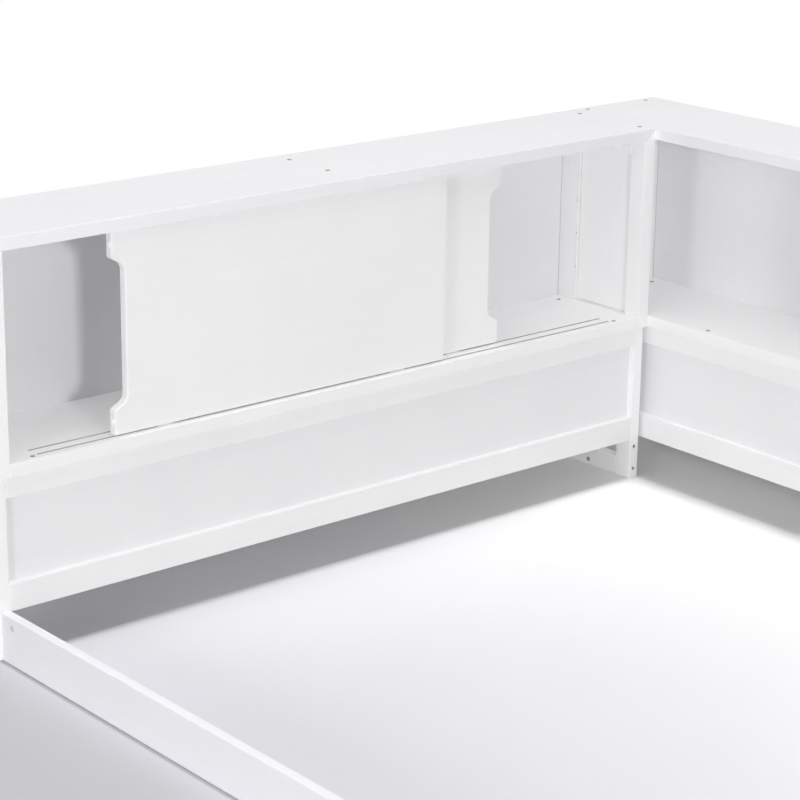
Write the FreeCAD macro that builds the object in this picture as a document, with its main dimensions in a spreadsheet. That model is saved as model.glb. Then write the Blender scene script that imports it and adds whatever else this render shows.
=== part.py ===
"""Low L-shaped bookcase bed: a headboard bookcase with two sliding doors, an open side bookcase, and two
bed rails that stand on the floor and close the mattress bay.

Frame: +X towards the side bookcase, +Y towards the headboard, +Z up, origin at the middle of the footprint
on the floor. Both bookcases are one design, built in its own directions: u along the front from its first
end, v from the front face to the back, w up from the floor. The side bookcase is that design turned by a
quarter so that its front faces the mattress.
"""

import FreeCAD, Part

import os

import Sketcher

from FreeCAD import Placement, Rotation, Vector

# ---------------------------------------------------------------------------------------------------------
# Driving dimensions, in millimetres
# ---------------------------------------------------------------------------------------------------------

SIZES = {
    # whole bed
    "overall_height": 672,
    "head_length": 1400,       # headboard bookcase, end to end
    "bay_length": 1928,        # mattress bay, base front to foot rail
    "case_depth": 220,
    "base_height": 299,
    # boards of the upper cases
    "top_thick": 21,
    "shelf_thick": 21,
    "end_thick": 27,
    "front_stile_width": 34,
    "rear_stile_width": 52,
    "end_rail_height": 29,     # below the top board
    "end_panel_thick": 6,
    "end_panel_recess": 8,     # behind the inner face of the stiles
    "panel_tongue": 6,         # how far a panel reaches into the members around it
    "back_thick": 6,
    "back_inset": 2,
    "back_rebate": 8,
    "divider_thick": 18,
    "eased_edge": 0.8,
    # sliding doors
    "door_thick": 16,
    "door_overlap": 16,
    "door_gap": 3,             # above and below a door
    "door_end_clearance": 0.5,
    "front_track_inset": 18,   # centre of the front groove behind the case front
    "track_pitch": 23.5,
    "track_width": 5,
    "track_end_margin": 58,
    "shelf_track_depth": 6,
    "top_track_depth": 10,
    "front_door_rest": 198,    # left edge of the door from the left end board, at rest
    "rear_door_rest": 321,     # right edge of the door from the right end board, at rest
    "ear_height": 41,
    "ear_corner_radius": 7,    # where an ear meets the notch
    "door_edge": 1.5,
    "notch_depth": 24,
    "notch_slope": 12.5,
    "notch_radius": 16,
    "divider_clearance": 2.5,  # behind the rear door
    "bumper_radius": 6.5,
    "bumper_height": 3,
    "bumper_from_ear_end": 20,
    "glide_length": 30,
    "glide_clearance": 0.3,
    "glide_from_door_edge": 100,
    "glide_peg_radius": 3,
    "glide_peg_length": 8,
    # lower bases
    "base_recess": 15,
    "head_base_shift": 5,      # the headboard's base stands this much further right than its case
    "post_thick": 22,
    "post_width": 36,
    "base_rail_thick": 22,
    "apron_height": 38,
    "kick_height": 76,
    "bottom_rail_height": 45,
    "base_panel_thick": 6,
    "base_panel_recess": 12,
    "foot_stretcher_height": 35,
    # bed rails
    "bed_rail_height": 79,
    "bed_rail_thick": 16,
    # fasteners and holes
    "screw_hole_radius": 2.5,
    "screw_head_hole_radius": 4,
    "screw_sink": 8,
    "screw_tip_clearance": 1,  # above the panel of an end
    "screw_head_height": 3,
    "screw_play": 0.1,
    "base_screw_bite": 12,     # into the shelf
    "base_screw_margin": 26,
    "stile_screw_front_margin": 5,
    "stile_screw_rear_margin": 16,
    "divider_screw_front_margin": 25,
    "divider_screw_rear_margin": 31,
    "shelf_hole_radius": 4,
    "shelf_hole_depth": 12,
    "shelf_hole_front_inset": 14,
    "shelf_hole_rear_inset": 34,
    "head_shelf_hole_front_margin": 76,
    "side_shelf_hole_front_margin": 358,
    "shelf_hole_rear_margin": 50,
    "rail_dowel_height": 18,
    "rail_bolt_height": 62,
    "bolt_radius": 3,
    "bolt_play": 0.2,
    "bolt_reach": 40,          # into the end of a bed rail
    "bolt_head_radius": 6,
    "bolt_head_height": 3,
    "nut_radius": 5,
    "nut_length": 13,
    "nut_from_rail_end": 30,
    "dowel_radius": 3,
    "dowel_half_length": 20,
    "case_dowel_margin": 55,   # above the base, and below the top boards
    "stretcher_hole_radius": 4,
    "stretcher_hole_height": 10,
    "stretcher_hole_from_front": 109,
}

doc = FreeCAD.newDocument("bookcase_bed")
sheet = doc.addObject("Spreadsheet::Sheet", "sizes")
for row, (alias, number) in enumerate(SIZES.items(), start=1):
    sheet.set(f"A{row}", alias)
    sheet.set(f"B{row}", str(number))
    sheet.setAlias(f"B{row}", alias)
doc.recompute()


class Size:
    """A length with the sheet formula that it comes from."""

    def __init__(self, value, formula):
        self.value = float(value)
        self.formula = formula

    def __add__(self, other):
        return combine(self, "+", other, self.value + as_size(other).value)

    def __sub__(self, other):
        return combine(self, "-", other, self.value - as_size(other).value)

    def __mul__(self, other):
        return combine(self, "*", other, self.value * as_size(other).value)

    def __truediv__(self, other):
        return combine(self, "/", other, self.value / as_size(other).value)

    def __neg__(self):
        return Size(-self.value, f"(-1 * {self.formula})")

    def __radd__(self, other):
        return as_size(other) + self

    def __rsub__(self, other):
        return as_size(other) - self


def as_size(number):
    return number if isinstance(number, Size) else Size(number, repr(float(number)))


def combine(left, sign, right, value):
    return Size(value, f"({left.formula} {sign} {as_size(right).formula})")


def bind(thing, path, size):
    thing.setExpression(path, as_size(size).formula)


class Sheet:
    """The driving dimensions by name, each bound to its cell."""

    def __getattr__(self, alias):
        return Size(SIZES[alias], f"sizes.{alias}")


k = Sheet()

# ---------------------------------------------------------------------------------------------------------
# Places that several pieces share
# ---------------------------------------------------------------------------------------------------------

case_underside = k.overall_height - k.top_thick
shelf_top = k.base_height + k.shelf_thick
back_front = k.case_depth - k.back_inset - k.back_thick
head_inner_length = k.head_length - k.end_thick * 2
apron_low = k.base_height - k.apron_height
bottom_rail_top = k.kick_height + k.bottom_rail_height
base_back_front = k.case_depth - k.base_rail_thick
side_length = k.case_depth + k.bay_length - k.base_recess + k.bed_rail_thick

# The corner where the headboard's case front meets the side bookcase's front, seen from above.
corner_x = (k.head_length - k.case_depth) / 2
corner_y = (side_length - k.case_depth * 2) / 2


class Unit:
    """One bookcase: its name, the names of its ends, its length, and where its own corner and u axis are."""

    def __init__(self, name, ends, length, corner, turned):
        self.name = name
        self.ends = ends
        self.length = length
        self.corner = corner
        self.turned = turned
        self.base_shift = as_size(0)
        self.dividers = 1
        self.divider_front = as_size(0)

    def world(self, u, v):
        """The bed's x and y of a point given along and across this bookcase."""
        x, y = self.corner
        return (x + v, y - u) if self.turned else (x + u, y + v)


rear_door_back = k.front_track_inset + k.track_pitch + k.door_thick / 2

HEADBOARD = Unit("headboard", ("left", "right"), k.head_length, (corner_x - k.head_length, corner_y), False)
HEADBOARD.base_shift = k.head_base_shift
HEADBOARD.divider_front = rear_door_back + k.divider_clearance
HEADBOARD.shelf_hole_margin = k.head_shelf_hole_front_margin

SIDE = Unit("side", ("head", "foot"), side_length, (corner_x, corner_y + k.case_depth), True)
SIDE.dividers = 2
SIDE.shelf_hole_margin = k.side_shelf_hole_front_margin

QUARTER_TURN = Rotation(Vector(0, 0, 1), -90)

# ---------------------------------------------------------------------------------------------------------
# Ways of making a piece
# ---------------------------------------------------------------------------------------------------------

nodes = {}          # label: object, for every sub-part that is written out


def keep(thing, label):
    thing.Label = label
    nodes[label] = thing
    return thing


def new_body(label):
    return doc.addObject("PartDesign::Body", label)


def new_sketch(body, plane, start):
    """A sketch on one of the body's origin planes, moved by start along +X, +Y or +Z."""
    sketch = body.newObject("Sketcher::SketchObject", f"{body.Name}_sketch")
    origin_plane = [f for f in body.Origin.OriginFeatures if f.Role == f"{plane}_Plane"][0]
    sketch.AttachmentSupport = [(origin_plane, "")]
    sketch.MapMode = "FlatFace"
    bind(sketch, "AttachmentOffset.Base.z", -start if plane == "XZ" else start)
    return sketch


def fix(sketch, kind, geometry, point, size):
    """Dimensions one coordinate of a point from the sketch origin and binds it to the sheet."""
    index = sketch.addConstraint(Sketcher.Constraint(kind, -1, 1, geometry, point, size.value))
    bind(sketch, f"Constraints[{index}]", size)


def polygon(body, plane, points, start=0):
    """A closed outline whose corners are each dimensioned from the body's origin."""
    sketch = new_sketch(body, plane, as_size(start))
    corners = [(as_size(a), as_size(b)) for a, b in points]
    count = len(corners)
    for i, (a, b) in enumerate(corners):
        c, d = corners[(i + 1) % count]
        sketch.addGeometry(Part.LineSegment(Vector(a.value, b.value, 0), Vector(c.value, d.value, 0)))
    for i in range(count):
        sketch.addConstraint(Sketcher.Constraint("Coincident", i, 2, (i + 1) % count, 1))
    for i, (a, b) in enumerate(corners):
        fix(sketch, "DistanceX", i, 1, a)
        fix(sketch, "DistanceY", i, 1, b)
    return sketch


def rectangle(body, plane, low, high, start=0):
    (a, b), (c, d) = low, high
    return polygon(body, plane, [(a, b), (c, b), (c, d), (a, d)], start)


def circles(body, plane, centres, radius, start=0):
    sketch = new_sketch(body, plane, as_size(start))
    for i, (a, b) in enumerate(centres):
        a, b = as_size(a), as_size(b)
        sketch.addGeometry(Part.Circle(Vector(a.value, b.value, 0), Vector(0, 0, 1), radius.value))
        fix(sketch, "DistanceX", i, 3, a)
        fix(sketch, "DistanceY", i, 3, b)
        index = sketch.addConstraint(Sketcher.Constraint("Radius", i, radius.value))
        bind(sketch, f"Constraints[{index}]", radius)
    return sketch


def feature(body, kind, sketch, length, reversed_way):
    made = body.newObject(f"PartDesign::{kind}", f"{body.Name}_{kind.lower()}")
    made.Profile = sketch
    made.Reversed = reversed_way
    bind(made, "Length", length)
    sketch.Visibility = False
    return made


def pad(body, plane, sketch, length):
    """Adds material from the sketch towards +X, +Y or +Z."""
    return feature(body, "Pad", sketch, length, plane == "XZ")


def pocket(body, plane, sketch, length):
    """Removes material from the sketch towards +X, +Y or +Z, and stops if nothing was removed."""
    doc.recompute()
    before = body.Shape.Volume
    made = feature(body, "Pocket", sketch, length, plane != "XZ")
    doc.recompute()
    if not body.Shape.Volume < before:
        raise RuntimeError(f"{body.Label}: {made.Label} removes nothing")
    return made


def is_square_edge(shape, edge):
    """Whether an edge runs along X, Y or Z between two faces that are square to the axes."""
    faces = shape.ancestorsOfType(edge, Part.Face)
    normals = [face.normalAt(0, 0) for face in faces]
    return all(max(abs(c) for c in normal) > 0.999 for normal in normals)


def ease(body):
    """Takes the sharpness off the square edges of a board."""
    doc.recompute()
    solid = body.Tip
    edges = enumerate(solid.Shape.Edges, start=1)
    names = [f"Edge{i}" for i, edge in edges if is_square_edge(solid.Shape, edge)]
    chamfer = body.newObject("PartDesign::Chamfer", f"{body.Name}_eased")
    chamfer.Base = (solid, names)
    bind(chamfer, "Size", k.eased_edge)
    return chamfer


def place(thing, x, y, z, rotation=None):
    if rotation is not None:
        thing.Placement = Placement(Vector(), rotation)
    for axis, size in zip("xyz", (x, y, z)):
        bind(thing, f"Placement.Base.{axis}", size)


def place_in(unit, thing, u, v, w):
    """Puts a piece's own corner at (u, v, w) of its bookcase."""
    x, y = unit.world(u, v)
    place(thing, x, y, w, QUARTER_TURN if unit.turned else None)


def board(label, length, depth, height, eased=True):
    """A plain board with its own origin at its lowest left front corner."""
    body = new_body(label)
    pad(body, "XY", rectangle(body, "XY", (0, 0), (length, depth)), height)
    if eased:
        ease(body)
    return body


def group(label, members):
    compound = doc.addObject("Part::Compound", label)
    compound.Links = members
    return keep(compound, label)


LEFT, RIGHT = (-1, 0, 0), (1, 0, 0)
FORWARD, BACKWARD = (0, -1, 0), (0, 1, 0)
UP, DOWN = (0, 0, 1), (0, 0, -1)


def rod(radius, length, start, direction):
    """A round rod that starts at a point and runs along a direction."""
    made = doc.addObject("Part::Cylinder", "rod")
    bind(made, "Radius", radius)
    bind(made, "Height", length)
    ways = [as_size(c).value for c in direction]
    place(made, *start, Rotation(Vector(0, 0, 1), Vector(*ways)))
    return made


def fused(first, second):
    both = doc.addObject("Part::Fuse", "fused")
    both.Base = first
    both.Tool = second
    return both


# ---------------------------------------------------------------------------------------------------------
# Upper case of a bookcase
# ---------------------------------------------------------------------------------------------------------

# Both cases rest on the same heights, and these are the places of the panels across an end, from the
# outer face of the end.
end_panel_in = k.end_thick - k.end_panel_recess
end_panel_out = end_panel_in - k.end_panel_thick
end_height = case_underside - k.base_height


def divider_centres(unit):
    """Where the dividers stand, so that the bays between them are equal."""
    inner = unit.length - k.end_thick * 2
    bay = (inner - k.divider_thick * unit.dividers) / (unit.dividers + 1)
    first = k.end_thick + bay + k.divider_thick / 2
    return [first + (bay + k.divider_thick) * i for i in range(unit.dividers)]


# Screws come down through the top board, in v, and stop short of the panels in the ends.
stile_screws = (k.front_stile_width - k.stile_screw_front_margin,
                k.case_depth - k.rear_stile_width + k.stile_screw_rear_margin)
top_screw_bite = k.end_rail_height - k.panel_tongue - k.screw_tip_clearance
top_screw_length = k.top_thick - k.screw_sink + top_screw_bite
base_screw_length = k.apron_height + k.base_screw_bite


def divider_screws(unit):
    return (unit.divider_front + k.divider_screw_front_margin, back_front - k.divider_screw_rear_margin)


def top_screws(unit):
    """Where screws come down through the top board, as (u, v)."""
    ends = [k.end_thick / 2, unit.length - k.end_thick / 2]
    places = [(u, v) for u in ends for v in stile_screws]
    places += [(u, v) for u in divider_centres(unit) for v in divider_screws(unit)]
    return places


def track_lines():
    """The distance of each groove's centre behind the case front."""
    return [k.front_track_inset, k.front_track_inset + k.track_pitch]


def cut_tracks(unit, body, u_of_body, low, depth):
    """Routes the two stopped grooves for the doors, which run from low upwards."""
    first = k.end_thick + k.track_end_margin - u_of_body
    last = unit.length - k.end_thick - k.track_end_margin - u_of_body
    for line in track_lines():
        front = line - k.track_width / 2
        groove = rectangle(body, "XY", (first, front), (last, front + k.track_width), low)
        pocket(body, "XY", groove, depth)


def make_top(unit, has_tracks):
    """Top board, mitred to the ends, with a rebate for the back and sunk screw holes."""
    body = new_body(f"{unit.name}_top")
    outline = [(k.end_thick, 0), (unit.length - k.end_thick, 0), (unit.length, k.top_thick), (0, k.top_thick)]
    pad(body, "XZ", polygon(body, "XZ", outline), k.case_depth)
    ease(body)
    rebate_u = k.end_thick - k.back_rebate
    rebate = rectangle(body, "XY", (rebate_u, back_front), (unit.length - rebate_u, k.case_depth))
    pocket(body, "XY", rebate, k.back_rebate)
    if has_tracks:
        cut_tracks(unit, body, 0, 0, k.top_track_depth)
    holes = circles(body, "XY", top_screws(unit), k.screw_hole_radius)
    pocket(body, "XY", holes, k.top_thick)
    sunk = k.top_thick - k.screw_sink
    heads = circles(body, "XY", top_screws(unit), k.screw_head_hole_radius, sunk)
    pocket(body, "XY", heads, k.screw_sink)
    place_in(unit, body, 0, 0, case_underside)
    keep(body, body.Name)


def make_shelf(unit, has_tracks):
    """Floor board of the case, housed between the ends."""
    length = unit.length - k.end_thick * 2
    body = board(f"{unit.name}_shelf", length, back_front, k.shelf_thick)
    if has_tracks:
        cut_tracks(unit, body, k.end_thick, k.shelf_thick - k.shelf_track_depth, k.shelf_track_depth)
    front, rear = unit.shelf_hole_margin - k.end_thick, k.shelf_hole_rear_margin - k.end_thick
    rear_v = k.case_depth - k.shelf_hole_rear_inset
    places = [(front, k.shelf_hole_front_inset), (length - front, k.shelf_hole_front_inset)]
    places += [(rear, rear_v), (length - rear, rear_v)]
    blind = circles(body, "XY", places, k.shelf_hole_radius, k.shelf_thick - k.shelf_hole_depth)
    pocket(body, "XY", blind, k.shelf_hole_depth)
    cross = [(u - k.end_thick, v) for u, v in cross_rail_screws(unit)]
    screw_holes = circles(body, "XY", cross, k.screw_hole_radius)
    pocket(body, "XY", screw_holes, k.base_screw_bite)
    place_in(unit, body, k.end_thick, 0, k.base_height)
    keep(body, body.Name)


def make_back(unit):
    """Thin back panel in the rebates of the top and the rear stiles, over the back edge of the shelf."""
    length = unit.length - (k.end_thick - k.back_rebate) * 2
    height = case_underside + k.back_rebate - k.base_height
    body = board(f"{unit.name}_back", length, k.back_thick, height, eased=False)
    place_in(unit, body, k.end_thick - k.back_rebate, back_front, k.base_height)
    keep(body, body.Name)


def make_dividers(unit):
    """Upright boards between shelf and top, with pilot holes for the screws from above."""
    front = unit.divider_front
    for number, centre in enumerate(divider_centres(unit), start=1):
        suffix = f"_{number}" if unit.dividers > 1 else ""
        height = case_underside - shelf_top
        body = board(f"{unit.name}_divider{suffix}", k.divider_thick, back_front - front, height)
        places = [(k.divider_thick / 2, v - front) for v in divider_screws(unit)]
        holes = circles(body, "XY", places, k.screw_hole_radius, height - top_screw_bite)
        pocket(body, "XY", holes, top_screw_bite)
        place_in(unit, body, centre - k.divider_thick / 2, front, shelf_top)
        keep(body, body.Name)


def across(first, outer, inner):
    """A span across an end, measured from its outer face, as u from the low side of that end."""
    return (outer, inner) if first else (k.end_thick - inner, k.end_thick - outer)


def mitred_upright(label, first, width, has_mitre_to):
    """A stile whose top is mitred under the top board: outer side tall, inner side short."""
    body = new_body(label)
    tall, short = has_mitre_to - k.base_height, end_height
    left, right = (tall, short) if first else (short, tall)
    outline = [(0, 0), (k.end_thick, 0), (k.end_thick, right), (0, left)]
    pad(body, "XZ", polygon(body, "XZ", outline), width)
    ease(body)
    return body


def make_end(unit, first):
    """One framed end: two stiles, two rails and the inset panel that they hold."""
    side = unit.ends[0] if first else unit.ends[1]
    name = f"{unit.name}_{side}"
    u = as_size(0) if first else unit.length - k.end_thick
    panel_low, panel_high = across(first, end_panel_out, end_panel_in)
    rear_start = k.case_depth - k.rear_stile_width
    rail_low = end_height - k.end_rail_height

    front = mitred_upright(f"{name}_front_stile", first, k.front_stile_width, k.overall_height)
    groove_start = k.front_stile_width - k.panel_tongue
    groove = rectangle(front, "XY", (panel_low, groove_start), (panel_high, k.front_stile_width))
    pocket(front, "XY", groove, rail_low + k.panel_tongue)
    drill_stile(front, stile_screws[0])
    place_in(unit, front, u, 0, k.base_height)
    keep(front, front.Name)

    rear = mitred_upright(f"{name}_rear_stile", first, k.rear_stile_width, k.overall_height)
    groove = rectangle(rear, "XY", (panel_low, 0), (panel_high, k.panel_tongue))
    pocket(rear, "XY", groove, rail_low + k.panel_tongue)
    low, high = across(first, k.end_thick - k.back_rebate, k.end_thick)
    rebate = rectangle(rear, "XY", (low, back_front - rear_start), (high, k.rear_stile_width))
    pocket(rear, "XY", rebate, k.overall_height - k.base_height)
    drill_stile(rear, stile_screws[1] - rear_start)
    if unit is HEADBOARD and not first:
        drill_dowel_holes(rear, k.end_thick - k.dowel_half_length, dowel_line - rear_start)
    place_in(unit, rear, u, rear_start, k.base_height)
    keep(rear, rear.Name)

    rails = [end_rail(unit, name, first, part) for part in ("upper", "lower")]
    for rail, w in zip(rails, (rail_low, as_size(0))):
        place_in(unit, rail, u, k.front_stile_width, k.base_height + w)
    group(f"{name}_end_rails", rails)

    depth = rear_start - k.front_stile_width + k.panel_tongue * 2
    height = rail_low - k.shelf_thick + k.panel_tongue * 2
    panel = board(f"{name}_end_panel", k.end_panel_thick, depth, height, eased=False)
    panel_v = k.front_stile_width - k.panel_tongue
    place_in(unit, panel, u + panel_low, panel_v, shelf_top - k.panel_tongue)
    keep(panel, panel.Name)
    if unit is SIDE and first:
        drill_dowel_holes_in_front(front)


def drill_stile(body, v):
    """Pilot hole for the screw that comes down through the mitred corner, and room for its head above."""
    centre = [(k.end_thick / 2, v)]
    hole = circles(body, "XY", centre, k.screw_hole_radius, end_height - top_screw_bite)
    pocket(body, "XY", hole, top_screw_bite + k.top_thick)
    head = circles(body, "XY", centre, k.screw_head_hole_radius, end_height + k.top_thick - k.screw_sink)
    pocket(body, "XY", head, k.screw_sink)


# The side bookcase's first front stile stands against the headboard's right rear stile on this line, in v
# of the headboard, and dowels join the two at these heights above the base.
dowel_line = k.case_depth - k.end_thick / 2
dowel_heights = [k.case_dowel_margin, end_height - k.case_dowel_margin]
dowel_hole_radius = k.dowel_radius + k.screw_play


def drill_dowel_holes(body, start, v):
    """Holes along u in the headboard's right rear stile, open towards the side bookcase."""
    holes = circles(body, "YZ", [(v, w) for w in dowel_heights], dowel_hole_radius, start)
    pocket(body, "YZ", holes, k.dowel_half_length)


def drill_dowel_holes_in_front(body):
    """The matching holes in the front face of the side bookcase's first stile."""
    centres = [(k.end_thick / 2, w) for w in dowel_heights]
    pocket(body, "XZ", circles(body, "XZ", centres, dowel_hole_radius), k.dowel_half_length)


def end_rail(unit, name, first, part):
    """A rail between the stiles. The upper one is mitred under the top board, and both hold the panel."""
    body = new_body(f"{name}_{part}_end_rail")
    depth = k.case_depth - k.rear_stile_width - k.front_stile_width
    low, high = across(first, end_panel_out, end_panel_in)
    if part == "upper":
        tall, short = k.end_rail_height + k.top_thick, k.end_rail_height
        left, right = (tall, short) if first else (short, tall)
        outline = [(0, 0), (k.end_thick, 0), (k.end_thick, right), (0, left)]
        pad(body, "XZ", polygon(body, "XZ", outline), depth)
        groove_low = as_size(0)
    else:
        pad(body, "XY", rectangle(body, "XY", (0, 0), (k.end_thick, depth)), k.shelf_thick)
        groove_low = k.shelf_thick - k.panel_tongue
    ease(body)
    groove = rectangle(body, "XY", (low, 0), (high, depth), groove_low)
    pocket(body, "XY", groove, k.panel_tongue)
    if part == "lower":
        end_u = as_size(0) if first else unit.length - k.end_thick
        places = [(u - end_u, v - k.front_stile_width) for u, v in end_base_screws(unit, first)]
        pocket(body, "XY", circles(body, "XY", places, k.screw_hole_radius), k.base_screw_bite)
    return body


# ---------------------------------------------------------------------------------------------------------
# Base of a bookcase
# ---------------------------------------------------------------------------------------------------------

stretcher_front = k.base_recess + k.post_width
stretcher_rear = k.case_depth - k.post_width
stretcher_depth = stretcher_rear - stretcher_front
rail_mid = k.bed_rail_thick / 2
rail_holes = [k.rail_dowel_height, k.rail_bolt_height]
bolt_hole_radius = k.bolt_radius + k.bolt_play
base_rail_back = k.base_recess + k.base_rail_thick
cross_depth = base_back_front - base_rail_back


def base_end_u(unit, first):
    """The low side of an end frame of the base."""
    return unit.base_shift if first else unit.length + unit.base_shift - k.post_thick


def end_base_screws(unit, first):
    """Where screws go up through a top stretcher into the end rail above it, as (u, v)."""
    u = base_end_u(unit, first) + k.post_thick / 2
    return [(u, stretcher_front + k.base_screw_margin), (u, stretcher_rear - k.base_screw_margin)]


def cross_rail_centres(unit):
    """Cross rails divide the base into as many lengths as the case has bays."""
    span = (unit.length - k.post_thick * 2) / (unit.dividers + 1)
    return [unit.base_shift + k.post_thick + span * (i + 1) for i in range(unit.dividers)]


def cross_rail_screws(unit):
    rows = (base_rail_back + k.base_screw_margin, base_back_front - k.base_screw_margin)
    return [(u, v) for u in cross_rail_centres(unit) for v in rows]


def make_base_end(unit, first):
    """An end frame of the base: two posts that stand on the floor and two stretchers between them."""
    side = unit.ends[0] if first else unit.ends[1]
    name = f"{unit.name}_base_{side}"
    u = base_end_u(unit, first)
    inner = k.post_thick - k.panel_tongue if first else as_size(0)

    front = board(f"{name}_front_post", k.post_thick, k.post_width, k.base_height)
    panel_low = (inner, k.base_panel_recess)
    panel_high = (inner + k.panel_tongue, k.base_panel_recess + k.base_panel_thick)
    groove_low = bottom_rail_top - k.panel_tongue
    groove = rectangle(front, "XY", panel_low, panel_high, groove_low)
    pocket(front, "XY", groove, apron_low - bottom_rail_top + k.panel_tongue * 2)
    if unit is HEADBOARD or not first:
        # A bed rail lies flush with one side of its post. The headboard's right post has spare holes.
        is_spare = unit is HEADBOARD and not first
        drill_post(front, k.post_thick / 2 if is_spare else k.post_thick - rail_mid)
    place_in(unit, front, u, k.base_recess, 0)
    keep(front, front.Name)

    rear = board(f"{name}_rear_post", k.post_thick, k.post_width, k.base_height)
    place_in(unit, rear, u, stretcher_rear, 0)
    keep(rear, rear.Name)

    low = board(f"{name}_low_stretcher", k.post_thick, stretcher_depth, k.foot_stretcher_height)
    hole_v = k.stretcher_hole_from_front - k.post_width
    hole = circles(low, "YZ", [(hole_v, k.stretcher_hole_height)], k.stretcher_hole_radius)
    pocket(low, "YZ", hole, k.post_thick)
    place_in(unit, low, u, stretcher_front, 0)

    high = board(f"{name}_high_stretcher", k.post_thick, stretcher_depth, k.apron_height)
    places = [(k.post_thick / 2, v - stretcher_front) for _, v in end_base_screws(unit, first)]
    pocket(high, "XY", circles(high, "XY", places, k.screw_hole_radius), k.apron_height)
    place_in(unit, high, u, stretcher_front, apron_low)
    group(f"{name}_stretchers", [low, high])


def drill_post(body, u):
    """Holes in a post's front face: a blind one for a dowel below, and one right through for a bolt above."""
    dowel_hole = circles(body, "XZ", [(u, k.rail_dowel_height)], dowel_hole_radius)
    pocket(body, "XZ", dowel_hole, k.dowel_half_length)
    bolt_hole = circles(body, "XZ", [(u, k.rail_bolt_height)], bolt_hole_radius)
    pocket(body, "XZ", bolt_hole, k.post_width)


def make_base_front(unit):
    """Apron and bottom rail between the front posts, and the recessed panel that they hold."""
    length = unit.length - k.post_thick * 2
    start = unit.base_shift + k.post_thick
    panel_start = k.base_panel_recess
    panel_end = panel_start + k.base_panel_thick
    for part, height, w in (("apron", k.apron_height, apron_low),
                            ("bottom_rail", k.bottom_rail_height, k.kick_height)):
        body = board(f"{unit.name}_base_{part}", length, k.base_rail_thick, height)
        groove_low = as_size(0) if part == "apron" else height - k.panel_tongue
        groove = rectangle(body, "XY", (0, panel_start), (length, panel_end), groove_low)
        pocket(body, "XY", groove, k.panel_tongue)
        place_in(unit, body, start, k.base_recess, w)
        keep(body, body.Name)

    height = apron_low - bottom_rail_top + k.panel_tongue * 2
    width = length + k.panel_tongue * 2
    panel = board(f"{unit.name}_base_panel", width, k.base_panel_thick, height, eased=False)
    panel_v = k.base_recess + k.base_panel_recess
    place_in(unit, panel, start - k.panel_tongue, panel_v, bottom_rail_top - k.panel_tongue)
    keep(panel, panel.Name)


def make_base_back(unit):
    """The two rails that join the rear posts, and the rails that cross under the shelf."""
    length = unit.length - k.post_thick * 2
    start = unit.base_shift + k.post_thick
    rails = []
    for part, height, w in (("upper", k.apron_height, apron_low),
                            ("lower", k.bottom_rail_height, k.kick_height)):
        rail = board(f"{unit.name}_base_{part}_back_rail", length, k.base_rail_thick, height)
        place_in(unit, rail, start, base_back_front, w)
        rails.append(rail)
    group(f"{unit.name}_base_back_rails", rails)

    crossing = []
    for centre in cross_rail_centres(unit):
        rail = board(f"{unit.name}_base_cross_rail", k.post_thick, cross_depth, k.apron_height)
        rows = (k.base_screw_margin, cross_depth - k.base_screw_margin)
        places = [(k.post_thick / 2, v) for v in rows]
        pocket(rail, "XY", circles(rail, "XY", places, k.screw_hole_radius), k.apron_height)
        place_in(unit, rail, centre - k.post_thick / 2, base_rail_back, apron_low)
        crossing.append(rail)
    group(f"{unit.name}_base_cross_rails", crossing)


# ---------------------------------------------------------------------------------------------------------
# Sliding doors
# ---------------------------------------------------------------------------------------------------------

door_width = (head_inner_length + k.door_overlap) / 2
door_height = case_underside - shelf_top - k.door_gap * 2
door_low = shelf_top + k.door_gap
glide_places = [k.glide_from_door_edge, door_width - k.glide_from_door_edge]


def edges_near(shape, points, tolerance=0.01):
    """Names of the edges through a door's thickness at the given (x, z) corners of its outline."""
    found = []
    for i, edge in enumerate(shape.Edges, start=1):
        ends = [vertex.Point for vertex in edge.Vertexes]
        if len(ends) < 2 or abs(ends[0].y - ends[1].y) < tolerance:
            continue
        for x, z in points:
            if abs(ends[0].x - x.value) < tolerance and abs(ends[0].z - z.value) < tolerance:
                found.append(f"Edge{i}")
    return found


def round_corners(body, points, radius, name):
    doc.recompute()
    solid = body.Tip
    fillet = body.newObject("PartDesign::Fillet", f"{body.Name}_{name}")
    fillet.Base = (solid, edges_near(solid.Shape, points))
    bind(fillet, "Radius", radius)
    doc.recompute()


def ease_outline(body, depth, size, tolerance=0.01):
    """Takes the edge off both faces of a slab, all the way round its outline."""
    solid = body.Tip
    names = []
    for i, edge in enumerate(solid.Shape.Edges, start=1):
        box = edge.BoundBox
        if box.YLength < tolerance and min(abs(box.YMin), abs(box.YMin - depth.value)) < tolerance:
            names.append(f"Edge{i}")
    chamfer = body.newObject("PartDesign::Chamfer", f"{body.Name}_eased")
    chamfer.Base = (solid, names)
    bind(chamfer, "Size", size)
    doc.recompute()


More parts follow.
